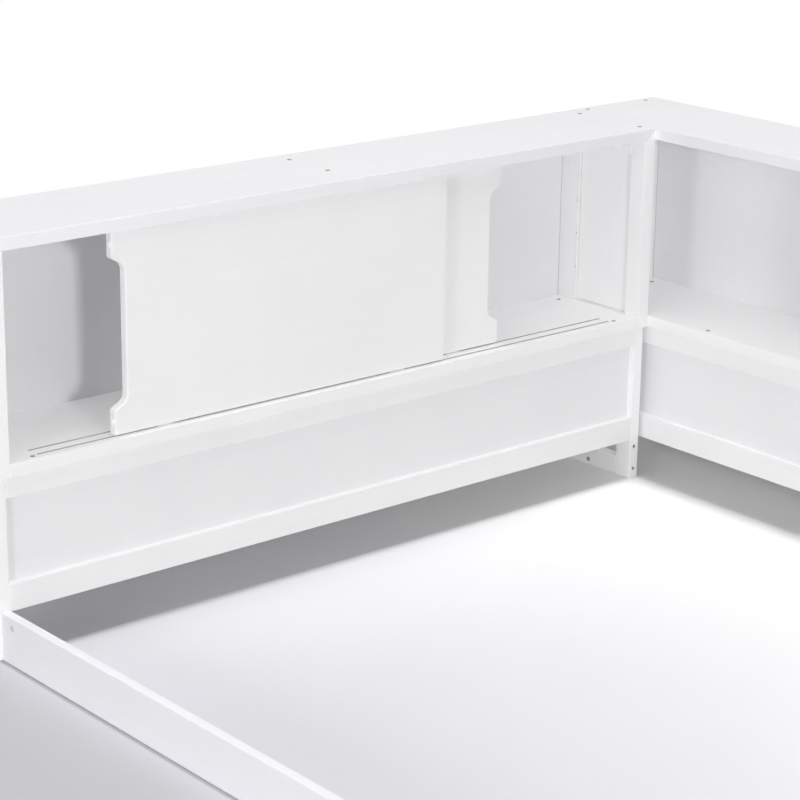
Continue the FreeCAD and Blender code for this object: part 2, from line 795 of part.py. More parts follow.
def make_door(name, grip_left, u_rest, track):
    """A slab with a finger notch cut into its closing edge between two ears."""
    body = new_body(name)
    pad(body, "XZ", rectangle(body, "XZ", (0, 0), (door_width, door_height)), k.door_thick)

    edge = as_size(0) if grip_left else door_width
    deep = k.notch_depth if grip_left else door_width - k.notch_depth
    ear_low, ear_high = k.ear_height, door_height - k.ear_height
    slope_low, slope_high = ear_low + k.notch_slope, ear_high - k.notch_slope
    notch = [(edge, ear_low), (deep, slope_low), (deep, slope_high), (edge, ear_high)]
    pocket(body, "XZ", polygon(body, "XZ", notch), k.door_thick)

    round_corners(body, notch[1:3], k.notch_radius, "notch_round")
    round_corners(body, [notch[0], notch[3]], k.ear_corner_radius, "ear_round")
    ease_outline(body, k.door_thick, k.door_edge)

    mid = k.door_thick / 2
    pegs = [(x, mid) for x in glide_places]
    peg_hole = k.glide_peg_radius + k.screw_play
    for low in (as_size(0), door_height - k.glide_peg_length):
        pocket(body, "XY", circles(body, "XY", pegs, peg_hole, low), k.glide_peg_length)
    v = track - k.door_thick / 2
    place_in(HEADBOARD, body, u_rest, v, door_low)
    keep(body, name)

    make_bumpers(name, grip_left, u_rest, track)
    make_glides(name, u_rest, track)


def make_bumpers(name, grip_left, u_rest, track):
    """Soft domes on the ends of the ears, which meet the end board when the door closes."""
    radius, height = k.bumper_radius, k.bumper_height
    dome_radius = (radius * radius + height * height) / (height * 2)
    domes = []
    for z in (k.bumper_from_ear_end, door_height - k.bumper_from_ear_end):
        ball = doc.addObject("Part::Sphere", "ball")
        bind(ball, "Radius", dome_radius)
        disc = doc.addObject("Part::Cylinder", "disc")
        bind(disc, "Radius", k.bumper_radius)
        bind(disc, "Height", k.bumper_height)
        bind(disc, "Placement.Base.z", dome_radius - k.bumper_height)
        dome = doc.addObject("Part::Common", "dome")
        dome.Base, dome.Tool = ball, disc
        tilt = Rotation(Vector(0, 1, 0), -90 if grip_left else 90)
        back_off = dome_radius - k.bumper_height
        u = u_rest + back_off if grip_left else u_rest + door_width - back_off
        x, y = HEADBOARD.world(u, track)
        place(dome, x, y, door_low + z, tilt)
        domes.append(dome)
    group(f"{name}_bumpers", domes)


def make_glides(name, u_rest, track):
    """Ski-shaped glides that run in the grooves, pegged into the lower and upper edges of the door."""
    glides = []
    half = k.glide_length / 2
    width = k.track_width - k.glide_clearance * 2
    tip = k.glide_length / 6
    for upward in (False, True):
        groove = k.top_track_depth if upward else k.shelf_track_depth
        height = k.door_gap + groove / 2 if upward else k.door_gap + groove - k.glide_clearance
        for place_on_door in glide_places:
            body = new_body(f"{name}_glide")
            ski = [(-half + tip, 0), (half - tip, 0), (half, height / 2), (half, height), (-half, height),
                   (-half, height / 2)]
            if upward:
                ski = [(a, height - b) for a, b in reversed(ski)]
            pad(body, "XZ", polygon(body, "XZ", ski, -width / 2), width)
            peg_start = -k.glide_peg_length if upward else height
            peg = circles(body, "XY", [(0, 0)], k.glide_peg_radius, peg_start)
            pad(body, "XY", peg, k.glide_peg_length)
            w = door_low + door_height if upward else door_low - height
            x, y = HEADBOARD.world(u_rest + place_on_door, track)
            place(body, x, y, w)
            glides.append(body)
    group(f"{name}_glides", glides)


# ---------------------------------------------------------------------------------------------------------
# Bed rails and fasteners
# ---------------------------------------------------------------------------------------------------------

rail_inner_x = corner_x - k.head_length + k.head_base_shift + k.post_thick
base_front_y = corner_y + k.base_recess
foot_outer_y = corner_y + k.case_depth - side_length
foot_inner_y = foot_outer_y + k.bed_rail_thick
side_base_x = corner_x + k.base_recess


nut_hole_depth = rail_mid + k.nut_length / 2
head_hole_radius = k.bolt_head_radius + k.bolt_play


def make_side_rail():
    """Long low board from the headboard's base to the foot, on the open side of the bed."""
    length = base_front_y - foot_outer_y
    body = board("side_rail", k.bed_rail_thick, length, k.bed_rail_height)
    reach = length - k.bolt_reach
    bolt_hole = circles(body, "XZ", [(rail_mid, k.rail_bolt_height)], bolt_hole_radius, reach)
    pocket(body, "XZ", bolt_hole, k.bolt_reach)
    dowel_start = length - k.dowel_half_length
    dowel_hole = circles(body, "XZ", [(rail_mid, k.rail_dowel_height)], dowel_hole_radius, dowel_start)
    pocket(body, "XZ", dowel_hole, k.dowel_half_length)
    nut = [(length - k.nut_from_rail_end, k.rail_bolt_height)]
    nut_start = k.bed_rail_thick - nut_hole_depth
    nut_hole = circles(body, "YZ", nut, k.nut_radius + k.screw_play, nut_start)
    pocket(body, "YZ", nut_hole, nut_hole_depth)
    corner = [(rail_mid, w) for w in rail_holes]
    pocket(body, "YZ", circles(body, "YZ", corner, bolt_hole_radius), k.bed_rail_thick)
    pocket(body, "YZ", circles(body, "YZ", corner, head_hole_radius), k.bolt_head_height)
    place(body, rail_inner_x - k.bed_rail_thick, foot_outer_y, 0)
    keep(body, "side_rail")


def make_foot_rail():
    """Low board across the foot, from the side rail to the side bookcase's base."""
    length = side_base_x - rail_inner_x
    body = board("foot_rail", length, k.bed_rail_thick, k.bed_rail_height)
    reach = length - k.bolt_reach
    near_bolts = circles(body, "YZ", [(rail_mid, w) for w in rail_holes], bolt_hole_radius)
    pocket(body, "YZ", near_bolts, k.bolt_reach)
    far_bolt = circles(body, "YZ", [(rail_mid, k.rail_bolt_height)], bolt_hole_radius, reach)
    pocket(body, "YZ", far_bolt, k.bolt_reach)
    dowel_start = length - k.dowel_half_length
    dowel_hole = circles(body, "YZ", [(rail_mid, k.rail_dowel_height)], dowel_hole_radius, dowel_start)
    pocket(body, "YZ", dowel_hole, k.dowel_half_length)
    nuts = [(k.nut_from_rail_end, w) for w in rail_holes]
    nuts.append((length - k.nut_from_rail_end, k.rail_bolt_height))
    nut_start = k.bed_rail_thick - nut_hole_depth
    nut_holes = circles(body, "XZ", nuts, k.nut_radius + k.screw_play, nut_start)
    pocket(body, "XZ", nut_holes, nut_hole_depth)
    place(body, rail_inner_x, foot_outer_y, 0)
    keep(body, "foot_rail")


def make_screws():
    """The screws that hold the tops down and the bases up. A head and a shank, pointing down or up."""
    shank_radius = k.screw_hole_radius - k.screw_play
    head_radius = k.screw_head_hole_radius - k.screw_play * 2
    screws = []
    for unit in (HEADBOARD, SIDE):
        for u, v in top_screws(unit):
            x, y = unit.world(u, v)
            seat = k.overall_height - k.screw_sink
            head = rod(head_radius, k.screw_head_height, (x, y, seat), UP)
            shank = rod(shank_radius, top_screw_length, (x, y, seat), DOWN)
            screws.append(fused(head, shank))
        rising = end_base_screws(unit, True) + end_base_screws(unit, False) + cross_rail_screws(unit)
        for u, v in rising:
            x, y = unit.world(u, v)
            head = rod(head_radius, k.screw_head_height, (x, y, apron_low), DOWN)
            shank = rod(shank_radius, base_screw_length, (x, y, apron_low), UP)
            screws.append(fused(head, shank))
    group("case_screws", screws)


def along(point, direction, distance):
    """The point that lies a distance away in a direction."""
    return tuple(p + distance * c for p, c in zip(point, direction))


def bolt_joint(point, into, through):
    """A bolt whose head is a distance in front of a rail's end, and whose shank runs into the rail."""
    seat = along(point, into, -through)
    head = rod(k.bolt_head_radius, k.bolt_head_height, seat, along((0, 0, 0), into, -1))
    shank = rod(k.bolt_radius, through + k.bolt_reach - k.screw_tip_clearance, seat, into)
    return fused(head, shank)


def cross_nut(point, into, face):
    """The round nut of a bolt, let in from a face of the rail, and bored across for the bolt."""
    centre = along(point, into, k.nut_from_rail_end)
    open_end = along(centre, face, k.nut_length / 2)
    barrel = rod(k.nut_radius, k.nut_length, open_end, along((0, 0, 0), face, -1))
    bore = rod(bolt_hole_radius, k.nut_radius * 4, along(centre, into, k.nut_radius * -2), into)
    bored = doc.addObject("Part::Cut", "cross_nut")
    bored.Base = barrel
    bored.Tool = bore
    return bored


def make_rail_bolts():
    """The bolts, cross nuts and dowels of the three joints of the bed rails."""
    side_mid_x = rail_inner_x - rail_mid
    foot_mid_y = foot_outer_y + rail_mid
    corner_grip = k.bed_rail_thick - k.bolt_head_height
    bolt, low = k.rail_bolt_height, k.rail_dowel_height
    joints = [
        ((side_mid_x, base_front_y, bolt), FORWARD, RIGHT, k.post_width),
        ((side_base_x, foot_mid_y, bolt), LEFT, BACKWARD, k.post_width),
        ((rail_inner_x, foot_mid_y, bolt), RIGHT, BACKWARD, corner_grip),
        ((rail_inner_x, foot_mid_y, low), RIGHT, BACKWARD, corner_grip),
    ]
    group("rail_bolts", [bolt_joint(point, into, through) for point, into, face, through in joints])
    group("rail_cross_nuts", [cross_nut(point, into, face) for point, into, face, through in joints])


def make_dowels():
    """Wooden dowels across the joint between the two cases, and below the bolts of the bed rails."""
    x, y = HEADBOARD.world(HEADBOARD.length, dowel_line)
    middles = [((x, y, k.base_height + w), RIGHT) for w in dowel_heights]
    middles.append(((rail_inner_x - rail_mid, base_front_y, k.rail_dowel_height), FORWARD))
    middles.append(((side_base_x, foot_outer_y + rail_mid, k.rail_dowel_height), LEFT))
    dowels = []
    for middle, direction in middles:
        start = along(middle, direction, -k.dowel_half_length)
        dowels.append(rod(k.dowel_radius, k.dowel_half_length * 2, start, direction))
    group("dowels", dowels)


# ---------------------------------------------------------------------------------------------------------
# The bed
# ---------------------------------------------------------------------------------------------------------

make_top(HEADBOARD, True)
make_top(SIDE, False)
make_shelf(HEADBOARD, True)
make_shelf(SIDE, False)
for bookcase in (HEADBOARD, SIDE):
    make_dividers(bookcase)
    make_back(bookcase)
    make_base_front(bookcase)
    make_base_back(bookcase)
    for is_first in (True, False):
        make_end(bookcase, is_first)
        make_base_end(bookcase, is_first)

front_line, rear_line = track_lines()
rear_rest_u = k.head_length - k.end_thick - k.rear_door_rest - door_width
make_door("front_door", True, k.end_thick + k.front_door_rest, front_line)
make_door("rear_door", False, rear_rest_u, rear_line)

make_side_rail()
make_foot_rail()
make_screws()
make_rail_bolts()
make_dowels()

doc.recompute()

for thing in doc.Objects:
    if "Invalid" in thing.State or "Error" in thing.State:
        raise RuntimeError(f"{thing.Label} failed: {thing.State}")
for label, thing in nodes.items():
    if thing.Shape.isNull() or not thing.Shape.isValid():
        raise RuntimeError(f"{label} has no valid shape")

os.makedirs("parts", exist_ok=True)
for label, thing in nodes.items():
    thing.Shape.exportStep(f"parts/{label}.step")

front_travel = (k.front_door_rest - k.bumper_height - k.door_end_clearance).value
rear_travel = (k.rear_door_rest - k.bumper_height - k.door_end_clearance).value
free_run = (head_inner_length - door_width - k.door_end_clearance).value
print("sub-parts:", len(nodes))
print("front door travel:", -front_travel, free_run - SIZES["front_door_rest"])
print("rear door travel:", -(free_run - SIZES["rear_door_rest"]), rear_travel)
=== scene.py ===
import math

import bmesh
import bpy
from mathutils import Matrix, Vector


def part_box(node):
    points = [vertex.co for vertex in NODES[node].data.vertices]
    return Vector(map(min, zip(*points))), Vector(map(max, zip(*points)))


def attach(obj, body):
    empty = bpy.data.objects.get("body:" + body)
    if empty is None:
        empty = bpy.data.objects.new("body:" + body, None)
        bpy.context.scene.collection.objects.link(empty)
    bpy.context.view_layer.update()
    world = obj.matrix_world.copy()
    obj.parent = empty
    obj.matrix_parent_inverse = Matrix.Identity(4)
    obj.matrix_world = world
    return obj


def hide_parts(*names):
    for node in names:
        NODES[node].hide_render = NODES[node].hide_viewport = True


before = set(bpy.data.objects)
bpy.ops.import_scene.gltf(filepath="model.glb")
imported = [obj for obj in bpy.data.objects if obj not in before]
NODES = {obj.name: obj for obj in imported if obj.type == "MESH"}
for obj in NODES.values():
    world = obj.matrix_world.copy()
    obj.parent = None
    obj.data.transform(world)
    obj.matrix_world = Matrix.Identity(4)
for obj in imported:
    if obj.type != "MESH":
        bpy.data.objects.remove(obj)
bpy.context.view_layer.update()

# ---------------------------------------------------------------------------------------------------------
# Places, in metres, read from the frame
# ---------------------------------------------------------------------------------------------------------


def span(node):
    """The lowest and highest corner of a CAD node."""
    low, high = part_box(node)
    return Vector(low), Vector(high)


top_low, top_high = span("headboard_top")
side_top_low, side_top_high = span("side_top")
side_rail_low, side_rail_high = span("side_rail")

CASE_FRONT_Y = top_low.y                     # front faces of the headboard's upper case
CASE_UNDERSIDE = top_low.z                   # underside of the tops
CASE_TOP = top_high.z
CASE_DEPTH = top_high.y - top_low.y
SHELF_TOP = span("headboard_shelf")[1].z
RAIL_OUTER_X = side_rail_low.x

# Sizes and routed and drilled places, as the maker would give them.
TRACK_INSET = 0.018                          # front groove's centre behind the case front
TRACK_PITCH = 0.0235
TRACK_WIDTH = 0.005
LOWER_TRACK = (0.0003, 0.0065)               # its bare part, from and to these depths under the shelf's top
UPPER_TRACK = (0.0004, 0.0105)               # the same, above the top board's underside
TOP_HOLE_RADIUS = 0.004
SHELF_HOLE_RADIUS = 0.004
SHELF_HOLE_FRONT_INSET = 0.014
SHELF_HOLE_REAR_INSET = 0.034
HEAD_SHELF_HOLE_MARGINS = (0.076, 0.050)     # front and rear holes, from the ends of the headboard
SIDE_SHELF_HOLE_MARGINS = (0.358, 0.050)
END_THICK = 0.027
PANEL_RECESS = 0.008
POST_HOLE_HEIGHTS = (0.018, 0.062)
POST_HOLE_RADIUS = 0.0032
STRETCHER_HOLE_INSET = 0.124                 # behind the case front
STRETCHER_HOLE_HEIGHT = 0.010
STRETCHER_HOLE_RADIUS = 0.004
NUT_HOLE_RADIUS = 0.0051
PIN_HEIGHTS = (0.384, 0.449, 0.512)          # filled pin holes along the edge of a rear stile
PIN_RADIUS = 0.0018

# ---------------------------------------------------------------------------------------------------------
# Node graphs
# ---------------------------------------------------------------------------------------------------------

X, Y, Z = 0, 1, 2


def rgba(r, g, b):
    return (r, g, b, 1.0)


def background_rays(tree):
    """A factor that is 1 for rays that show the background: seen directly, mirrored or through glass."""
    path = tree.nodes.new("ShaderNodeLightPath")
    either = path.outputs["Is Camera Ray"]
    for kind in ("Is Glossy Ray", "Is Transmission Ray"):
        larger = tree.nodes.new("ShaderNodeMath")
        larger.operation = "MAXIMUM"
        tree.links.new(either, larger.inputs[0])
        tree.links.new(path.outputs[kind], larger.inputs[1])
        either = larger.outputs[0]
    return either


class Graph:
    """A material under construction: each call adds one node, and its inputs may be values or sockets."""

    def __init__(self, name):
        self.material = bpy.data.materials.new(name)
        self.material.use_nodes = True
        self.tree = self.material.node_tree
        self.tree.nodes.clear()
        self.place = self.add("ShaderNodeTexCoord").outputs["Object"]
        self.along = self.add("ShaderNodeSeparateXYZ", {0: self.place}).outputs

    def add(self, kind, inputs=None, **settings):
        node = self.tree.nodes.new(kind)
        for key, value in settings.items():
            setattr(node, key, value)
        for key, value in (inputs or {}).items():
            self.put(node.inputs[key], value)
        return node

    def put(self, socket, value):
        if isinstance(value, bpy.types.NodeSocket):
            self.tree.links.new(value, socket)
        else:
            socket.default_value = value

    def math(self, operation, a, b=0.0):
        return self.add("ShaderNodeMath", {0: a, 1: b}, operation=operation).outputs[0]

    def chain(self, operation, values):
        result = values[0]
        for value in values[1:]:
            result = self.math(operation, result, value)
        return result

    def product(self, *values):
        return self.chain("MULTIPLY", values)

    def largest(self, *values):
        return self.chain("MAXIMUM", values)

    def smallest(self, *values):
        return self.chain("MINIMUM", values)

    def total(self, *values):
        return self.chain("ADD", values)

    def distance(self, a, b):
        inputs = {0: a, 1: b}
        return self.add("ShaderNodeVectorMath", inputs, operation="DISTANCE").outputs["Value"]

    def off_plane(self, axis, place):
        """How far a point lies from the plane that crosses an axis at a place."""
        return self.math("ABSOLUTE", self.math("SUBTRACT", self.along[axis], place))

    def step(self, value, low, high, new_low=0.0, new_high=1.0):
        """A soft step from new_low to new_high while the value goes from low to high."""
        inputs = {"Value": value, "From Min": low, "From Max": high, "To Min": new_low, "To Max": new_high}
        return self.add("ShaderNodeMapRange", inputs, interpolation_type="SMOOTHSTEP").outputs["Result"]

    def within(self, value, low, high, soft=0.0002):
        rising = self.step(value, low - soft, low)
        falling = self.step(value, high, high + soft, 1.0, 0.0)
        return self.product(rising, falling)

    def noise(self, scale, detail=2.0, roughness=0.5, place=None):
        inputs = {"Vector": place or self.place, "Scale": scale, "Detail": detail, "Roughness": roughness}
        return self.add("ShaderNodeTexNoise", inputs).outputs["Fac"]

    def stretched(self, axis, factor):
        """Coordinates in which marks come out longer along one axis."""
        factors = [factor if i == axis else 1.0 for i in range(3)]
        return self.add("ShaderNodeMapping", {"Vector": self.place, "Scale": factors}).outputs["Vector"]

    def mix(self, factor, a, b):
        node = self.add("ShaderNodeMix", data_type="RGBA")
        for index, value in ((0, factor), (6, a), (7, b)):
            self.put(node.inputs[index], value)
        return node.outputs[2]

    def bump(self, height, strength, distance, normal=None):
        inputs = {"Height": height, "Strength": strength, "Distance": distance}
        if normal is not None:
            inputs["Normal"] = normal
        return self.add("ShaderNodeBump", inputs).outputs["Normal"]

    def edge_distance(self, low, high):
        """How far a point on a board's surface lies from the nearest edge of the board."""
        gaps = []
        for axis in (X, Y, Z):
            here = self.along[axis]
            below, above = self.math("SUBTRACT", here, low[axis]), self.math("SUBTRACT", high[axis], here)
            gaps.append(self.smallest(below, above))
        both = self.math("SUBTRACT", self.total(*gaps), self.largest(*gaps))
        return self.math("SUBTRACT", both, self.smallest(*gaps))

    def hole_distance(self, centres, axis):
        """How far a point lies from the nearest of several round holes that run along an axis."""
        keep = [0.0 if i == axis else 1.0 for i in range(3)]
        inputs = {0: self.place, 1: keep}
        flat = self.add("ShaderNodeVectorMath", inputs, operation="MULTIPLY").outputs["Vector"]
        distances = []
        for centre in centres:
            point = [c * factor for c, factor in zip(centre, keep)]
            distances.append(self.distance(flat, point))
        return self.smallest(*distances)

    def finish(self, **inputs):
        """Closes the graph with one surface shader and returns the material."""
        names = {key.replace("_", " "): value for key, value in inputs.items()}
        shader = self.add("ShaderNodeBsdfPrincipled", names)
        self.add("ShaderNodeOutputMaterial", {"Surface": shader.outputs[0]})
        return self.material


# ---------------------------------------------------------------------------------------------------------
# Paint and raw fibreboard
# ---------------------------------------------------------------------------------------------------------

# Tones of the paint, each from a slightly greyer to a brighter coat.
CASE_TONE = (rgba(0.868, 0.867, 0.876), rgba(0.892, 0.890, 0.897))
TOP_TONE = (rgba(0.866, 0.862, 0.886), rgba(0.890, 0.886, 0.904))
# painted light: the shelves' paint is lighter than the case's, to brighten them in the shaded bays
SHELF_TONE_WITH_PAINTED_LIGHT = (rgba(0.884, 0.885, 0.890), rgba(0.906, 0.906, 0.909))
END_TONE = (rgba(0.902, 0.900, 0.908), rgba(0.924, 0.922, 0.929))
RAIL_TONE = (rgba(0.882, 0.868, 0.912), rgba(0.902, 0.890, 0.930))
DOOR_TONE = (rgba(0.866, 0.868, 0.876), rgba(0.890, 0.890, 0.896))
# painted light: the rear door, which stands behind the front door, is painted a little lighter than it
REAR_DOOR_TONE_WITH_PAINTED_LIGHT = (rgba(0.884, 0.885, 0.892), rgba(0.906, 0.906, 0.912))
BACK_TONE = (rgba(0.862, 0.861, 0.876), rgba(0.886, 0.884, 0.896))
# painted shade: the recessed base panels are painted darker than the case
BASE_PANEL_TONE_WITH_PAINTED_SHADE = (rgba(0.818, 0.817, 0.830), rgba(0.844, 0.843, 0.854))
THIN_COAT = rgba(0.640, 0.590, 0.560)
RAW_DARK = rgba(0.190, 0.110, 0.085)
RAW_PALE = rgba(0.450, 0.300, 0.225)
# dark joints between boards, and the painted shade under the upper end rails
JOINT_AND_SHADE_DARK = rgba(0.300, 0.285, 0.280)


def raw_fibreboard(graph):
    """Colour of bare fibreboard: brown felt with darker and paler fibres."""
    fibres = graph.noise(900.0, 3.0, 0.7)
    blotches = graph.noise(60.0, 2.0)
    return graph.mix(graph.product(graph.step(fibres, 0.3, 0.7), graph.step(blotches, 0.2, 0.7)),
                     RAW_DARK, RAW_PALE)


def painted_board(node, tone, streak_axis, bare=None, thin=None, seam=None, wear=1.0):
    """White paint on a fibreboard piece. bare, thin and seam each take the graph and return a mask, 1 where
    the board shows raw, where the coat is thin, and where joints are dark and shade under a rail is
    painted."""
    low, high = span(node)
    graph = Graph(f"paint_{node}")

    # the coat: clouds of tone, faint streaks along the board, and specks of dust in it
    clouds = graph.noise(5.0, 3.0, 0.6)
    streaks = graph.noise(160.0, 2.0, 0.5, graph.stretched(streak_axis, 0.02))
    tone_factor = graph.total(graph.product(clouds, 0.7), graph.product(streaks, 0.3))
    colour = graph.mix(graph.step(tone_factor, 0.3, 0.7), *tone)
    specks = graph.step(graph.noise(420.0, 1.0), 0.74, 0.78)
    colour = graph.mix(graph.product(specks, 0.10), colour, THIN_COAT)

    # wear: the coat thins at the edges, and a few small chips show the board
    edge = graph.edge_distance(low, high)
    near_edge = graph.step(edge, 0.0, 0.0022, 1.0, 0.0)
    patchy = graph.step(graph.noise(70.0, 3.0, 0.65), 0.42, 0.72)
    worn = graph.product(near_edge, patchy, 0.22 * wear)
    colour = graph.mix(worn, colour, THIN_COAT)
    chips = graph.product(graph.step(edge, 0.0, 0.0012, 1.0, 0.0),
                          graph.step(graph.noise(130.0, 4.0, 0.7), 0.66, 0.70), 0.55 * wear)
    raw = raw_fibreboard(graph)
    colour = graph.mix(chips, colour, raw)

    # relief: roller stipple, streaks, and the open grain of cut edges
    stipple = graph.noise(1100.0, 2.0, 0.6)
    relief = graph.bump(stipple, 0.10, 0.0002)
    relief = graph.bump(streaks, 0.06, 0.0003, relief)
    pores = graph.product(graph.noise(2600.0, 3.0, 0.7), near_edge)
    relief = graph.bump(pores, 0.25, 0.0003, relief)
    gloss = graph.step(graph.noise(35.0, 3.0), 0.3, 0.7, 0.40, 0.52)
    roughness = graph.total(gloss, graph.product(near_edge, 0.12))

    if thin is not None:
        colour = graph.mix(thin(graph), colour, THIN_COAT)
    # dark joints, and the painted shade under the upper end rails
    if seam is not None:
        colour = graph.mix(seam(graph), colour, JOINT_AND_SHADE_DARK)
    if bare is not None:
        mask = bare(graph)
        colour = graph.mix(mask, colour, raw)
        relief = graph.bump(graph.product(graph.noise(1500.0, 4.0, 0.8), mask), 0.5, 0.0006, relief)
        roughness = graph.total(roughness, graph.product(mask, 0.4))
    return graph.finish(Base_Color=colour, Roughness=roughness, Normal=relief, Specular_IOR_Level=0.45)


def around_holes(centres, axis, radius, bareness=0.65, chipped=0.0003):
    """A mask for round holes. bareness says how far the board shows through the paint on their walls, and
    chipped how far their rims are chipped."""

    def mask(graph):
        away = graph.hole_distance(centres, axis)
        ragged = graph.product(graph.noise(900.0, 2.0), chipped * 2)
        return graph.step(graph.math("SUBTRACT", away, ragged), radius, radius + 0.0003, bareness, 0.0)

    return mask


def joined(*masks):
    """Several masks as one."""

    def mask(graph):
        return graph.largest(*[one(graph) for one in masks])

    return mask


def tracks(below, above):
    """A mask for the two routed grooves, between two heights."""

    def mask(graph):
        lanes = []
        for line in (CASE_FRONT_Y + TRACK_INSET, CASE_FRONT_Y + TRACK_INSET + TRACK_PITCH):
            half = TRACK_WIDTH / 2
            lanes.append(graph.within(graph.along[Y], line - half, line + half))
        return graph.product(graph.largest(*lanes), graph.within(graph.along[Z], below, above), 0.48)

    return mask


# ---------------------------------------------------------------------------------------------------------
# Places along and across the two bookcases
# ---------------------------------------------------------------------------------------------------------


class Unit:
    """One bookcase: u runs along its front from its first end, v from its front face to its back."""

    def __init__(self, name, ends, corner, length, turned):
        self.name = name
        self.ends = ends
        self.corner = corner
        self.length = length
        self.u_axis, self.v_axis = (Y, X) if turned else (X, Y)
        self.turned = turned

    def at(self, u, v):
        x, y = self.corner
        return (x + v, y - u, 0.0) if self.turned else (x + u, y + v, 0.0)

    def end_places(self, first):
        """Where an end's inner face and its panel's plane lie along the bookcase."""
        inner, recessed = END_THICK, END_THICK - PANEL_RECESS
        if not first:
            inner, recessed = self.length - inner, self.length - recessed
        return self.at(inner, 0)[self.u_axis], self.at(recessed, 0)[self.u_axis]


HEADBOARD = Unit("headboard", ("left", "right"), corner=(top_low.x, top_low.y),
                 length=top_high.x - top_low.x, turned=False)
SIDE = Unit("side", ("head", "foot"), corner=(side_top_low.x, side_top_high.y),
            length=side_top_high.y - side_top_low.y, turned=True)


def bounds_of(points):
    """The lowest and highest corner of some points."""
    low = Vector([min(p[i] for p in points) for i in (X, Y, Z)])
    high = Vector([max(p[i] for p in points) for i in (X, Y, Z)])
    return low, high


def solids_of(node, reach=0.00005):
    """The separate solids of a node, each as a list of its points. Pieces of mesh whose boxes touch belong
    to one solid."""
    mesh = NODES[node].data
    leader = list(range(len(mesh.vertices)))

    def find(leaders, i):
        while leaders[i] != i:
            i = leaders[i]
        return i

    for edge in mesh.edges:
        a, b = edge.vertices
        leader[find(leader, a)] = find(leader, b)
    shells = {}
    for vertex in mesh.vertices:
        shells.setdefault(find(leader, vertex.index), []).append(vertex.co.copy())
    shells = list(shells.values())
    boxes = [bounds_of(points) for points in shells]
    leader = list(range(len(shells)))
    for i, (low, high) in enumerate(boxes):
        for j, (other_low, other_high) in enumerate(boxes[:i]):
            if all(low[a] < other_high[a] + reach and other_low[a] < high[a] + reach for a in (X, Y, Z)):
                leader[find(leader, i)] = find(leader, j)
    solids = {}
    for i, points in enumerate(shells):
        solids.setdefault(find(leader, i), []).extend(points)
    return list(solids.values())


def facing(place, way):
    """The matrix that takes the origin to a place and turns +Z to a direction."""
    return Matrix.Translation(place) @ way.to_track_quat("Z", "Y").to_matrix().to_4x4()


class Fastener:
    """A headed fastener read from its plain solid: its seat, the way its head looks and its sizes."""

    def __init__(self, points):
        low, high = bounds_of(points)
        size = high - low
        axis = max((X, Y, Z), key=lambda a: size[a])
        middle = (low + high) / 2
        others = [a for a in (X, Y, Z) if a != axis]
        radii = [math.hypot(*[p[a] - middle[a] for a in others]) for p in points]
        self.head_radius = max(radii)
        wide = [p[axis] for p, radius in zip(points, radii) if radius > 0.9 * self.head_radius]
        narrow = [radius for radius in radii if radius < 0.9 * self.head_radius]
        self.shank_radius = max(narrow)
        looks_up = sum(wide) / len(wide) > middle[axis]
        self.head_height = max(wide) - min(wide)
        self.shank_length = size[axis] - self.head_height
        self.way = Vector([0.0, 0.0, 0.0])
        self.way[axis] = 1.0 if looks_up else -1.0
        self.seat = middle.copy()
        self.seat[axis] = min(wide) if looks_up else max(wide)

    def matrix(self):
        return facing(self.seat, self.way)


SCREWS = [Fastener(points) for points in solids_of("case_screws")]
BOLTS = [Fastener(points) for points in solids_of("rail_bolts")]
TOP_SCREWS = [tuple(screw.seat) for screw in SCREWS if screw.seat.z > CASE_UNDERSIDE]

# ---------------------------------------------------------------------------------------------------------
# Where the board shows through the paint
# ---------------------------------------------------------------------------------------------------------


def shelf_holes(unit, margins):
    """Centres of the four blind holes in a case's shelf."""
    front, rear = margins
    places = []
    for margin, v in ((front, SHELF_HOLE_FRONT_INSET), (rear, CASE_DEPTH - SHELF_HOLE_REAR_INSET)):
        places += [unit.at(margin, v), unit.at(unit.length - margin, v)]
    return places


def rear_stile_step(unit, first, node):
    """The stile's front edge, where the coat is thin and leaves faint brown lines beside the panel and the
    corner, with a few filled pin holes."""
    inner, recessed = unit.end_places(first)
    face = span(node)[0][unit.v_axis]

    def mask(graph):
        on_face = graph.step(graph.along[unit.v_axis], face + 0.0010, face + 0.0016, 1.0, 0.0)
        lines = []
        for place, reach, depth in ((recessed, 0.0022, 0.75), (inner, 0.0018, 0.60)):
            away = graph.off_plane(unit.u_axis, place)
            lines.append(graph.step(away, reach * 0.4, reach, depth, 0.0))
        patchy = graph.step(graph.noise(26.0, 3.0, 0.6), 0.34, 0.62, 0.35, 1.0)
        coat = graph.step(graph.noise(18.0, 2.0), 0.3, 0.7, 0.02, 0.16)
        pins = []
        for height in PIN_HEIGHTS:
            corner = [0.0, 0.0, height]
            corner[unit.u_axis], corner[unit.v_axis] = inner, face
            away = graph.distance(graph.place, corner)
            pins.append(graph.step(away, PIN_RADIUS, PIN_RADIUS + 0.001, 0.9, 0.0))
        return graph.largest(graph.product(on_face, graph.largest(*lines), patchy),
                             graph.product(on_face, coat), *pins)

    return mask


def end_rail_ledge(graph):
    """The lower end rail's top edge, level with the shelf, which the brush hardly reaches."""
    on_top = graph.within(graph.along[Z], SHELF_TOP - 0.0011, SHELF_TOP + 0.0005)
    return graph.product(on_top, graph.step(graph.noise(30.0, 3.0), 0.3, 0.65, 0.15, 0.45))


def panel_borders(stile, v_axis):
    """Faint brown lines where an end's panel meets the rear stile and the ledge."""
    stile_front = span(stile)[0][v_axis]

    def mask(graph):
        upright = graph.step(graph.off_plane(v_axis, stile_front), 0.0006, 0.0020, 0.55, 0.0)
        low = graph.step(graph.along[Z], SHELF_TOP + 0.0010, SHELF_TOP + 0.0040, 0.75, 0.0)
        patchy = graph.step(graph.noise(22.0, 3.0), 0.25, 0.6, 0.45, 1.0)
        return graph.product(graph.largest(upright, low), patchy)

    return mask


